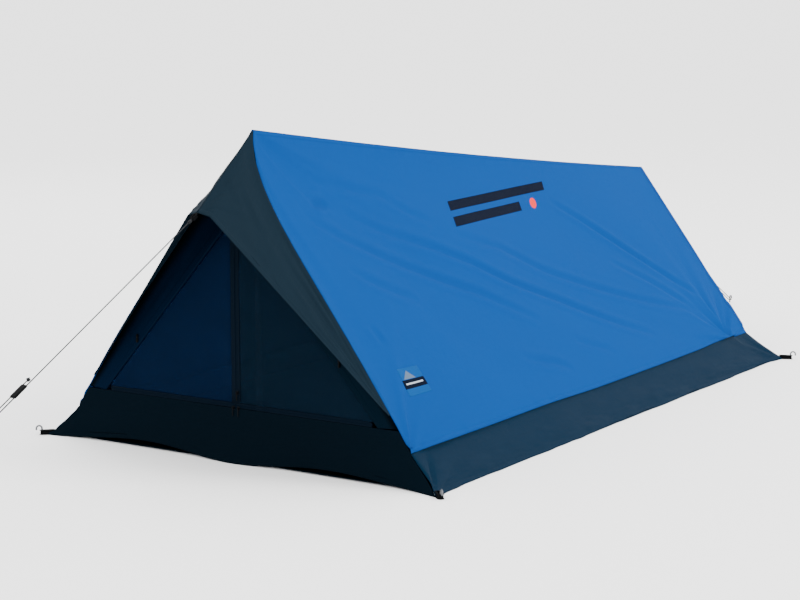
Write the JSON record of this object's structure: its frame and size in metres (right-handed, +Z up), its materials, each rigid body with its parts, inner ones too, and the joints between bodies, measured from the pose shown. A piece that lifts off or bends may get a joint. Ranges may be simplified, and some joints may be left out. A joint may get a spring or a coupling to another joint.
{
  "type": "ridge tent",
  "caption": "Low two-person A-frame ridge tent with a sloping ridge, hooded mesh door, skirt, sectional poles, guylines with runners, pegs and a hooded rear vent",
  "frame": {"origin": "middle of the groundsheet underside, on the ground", "axes": "+Z up, the door faces -Y, the ridge runs along Y and falls towards +Y, X is across"},
  "size_m": [1.4094, 4.7535, 1.06],
  "materials": {
    "roof_fabric": "coated polyester taffeta, matt with a faint sheen",
    "skirt_fabric": "coated polyester, matt slate blue",
    "hood_fabric": "coated polyester, matt slate",
    "black_fabric": "coated groundsheet cloth, nearly black",
    "insect_mesh": "fine knitted insect mesh, black",
    "zip_tape": "woven tape with a nylon coil",
    "zip_slider": "black enamel",
    "zip_pull": "dark enamel",
    "webbing": "black polyester webbing",
    "cord": "braided cord, light grey",
    "peg_steel": "zinc-plated wire",
    "pole_steel": "zinc-plated tube",
    "black_plastic": "moulded, satin",
    "label": "woven label"
  },
  "bodies": {
    "tent": {"corner_loop_front_left": "webbing", "corner_loop_front_right": "webbing", "corner_loop_rear_left": "webbing", "corner_loop_rear_right": "webbing", "corner_peg_front_left": "peg_steel", "corner_peg_front_right": "peg_steel", "corner_peg_rear_left": "peg_steel", "corner_peg_rear_right": "peg_steel", "door_border_left": "black_fabric", "door_border_right": "black_fabric", "door_toggle_left": "black_plastic", "door_toggle_right": "black_plastic", "front_guy_peg": "peg_steel", "front_guyline": "cord", "front_pole_foot": "black_plastic", "front_pole_lower": "pole_steel", "front_pole_middle": "pole_steel", "front_pole_tip": "black_plastic", "front_pole_upper": "pole_steel", "front_sill": "black_fabric", "groundsheet": "black_fabric", "hood_guy_loop": "webbing", "hood_left": "hood_fabric", "hood_right": "hood_fabric", "label_patch": "label", "rear_guy_peg": "peg_steel", "rear_guyline": "cord", "rear_pole_foot": "black_plastic", "rear_pole_lower": "pole_steel", "rear_pole_tip": "black_plastic", "rear_pole_upper": "pole_steel", "rear_sill": "black_fabric", "rear_wall": "hood_fabric", "roof_left": "roof_fabric", "roof_right": "roof_fabric", "skirt_left": "skirt_fabric", "skirt_right": "skirt_fabric", "vent_guy_loop": "webbing", "vent_hood": "hood_fabric", "vent_mesh": "insect_mesh", "zip_tape_sill": "zip_tape"},
    "door_leaf_right": {"door_mesh_right": "insect_mesh", "zip_tape_centre_right": "zip_tape", "zip_tape_lower_right": "zip_tape"},
    "door_leaf_left": {"door_mesh_left": "insect_mesh", "zip_tape_centre_left": "zip_tape", "zip_tape_lower_left": "zip_tape"},
    "slider_centre": {"zip_slider_centre": "zip_slider"},
    "pull_centre": {"zip_pull_centre": "zip_pull"},
    "slider_left": {"zip_slider_left": "zip_slider"},
    "pull_left": {"zip_pull_left": "zip_pull"},
    "slider_right": {"zip_slider_right": "zip_slider"},
    "pull_right": {"zip_pull_right": "zip_pull"},
    "runner_front": {"front_runner": "black_plastic"},
    "runner_rear": {"rear_runner": "black_plastic"}
  },
  "joints": [
    {"name": "door_right_swing", "type": "hinge", "parent": "tent", "child": "door_leaf_right", "pos_m": [0.228, -1.105, 0.4145], "axis": [-0.6629, 0, 0.7487], "range_deg": [0, 85]},
    {"name": "door_left_swing", "type": "hinge", "parent": "tent", "child": "door_leaf_left", "pos_m": [-0.228, -1.105, 0.4145], "axis": [-0.6629, 0, -0.7487], "range_deg": [0, 85]},
    {"name": "zip_centre_slide", "type": "slide", "parent": "door_leaf_right", "child": "slider_centre", "axis": [0, 0, 1], "range_m": [0, 0.45]},
    {"name": "zip_left_slide", "type": "slide", "parent": "tent", "child": "slider_left", "axis": [-1, 0, 0], "range_m": [0, 0.42]},
    {"name": "zip_right_slide", "type": "slide", "parent": "tent", "child": "slider_right", "axis": [1, 0, 0], "range_m": [0, 0.42]},
    {"name": "zip_pull_centre_swing", "type": "hinge", "parent": "slider_centre", "child": "pull_centre", "pos_m": [0.0053, -1.1106, 0.193], "axis": [-1, 0, 0], "range_deg": [0, 150]},
    {"name": "zip_pull_left_swing", "type": "hinge", "parent": "slider_left", "child": "pull_left", "pos_m": [-0.009, -1.1106, 0.1502], "axis": [-1, 0, 0], "range_deg": [0, 150]},
    {"name": "zip_pull_right_swing", "type": "hinge", "parent": "slider_right", "child": "pull_right", "pos_m": [0.009, -1.1106, 0.1502], "axis": [-1, 0, 0], "range_deg": [0, 150]},
    {"name": "front_runner_slide", "type": "slide", "parent": "tent", "child": "runner_front", "axis": [0, 0.8854, 0.4648], "range_m": [-0.6, 0.015]},
    {"name": "rear_runner_slide", "type": "slide", "parent": "tent", "child": "runner_rear", "axis": [0, -0.8854, 0.4648], "range_m": [-0.25, 0.015]}
  ]
}
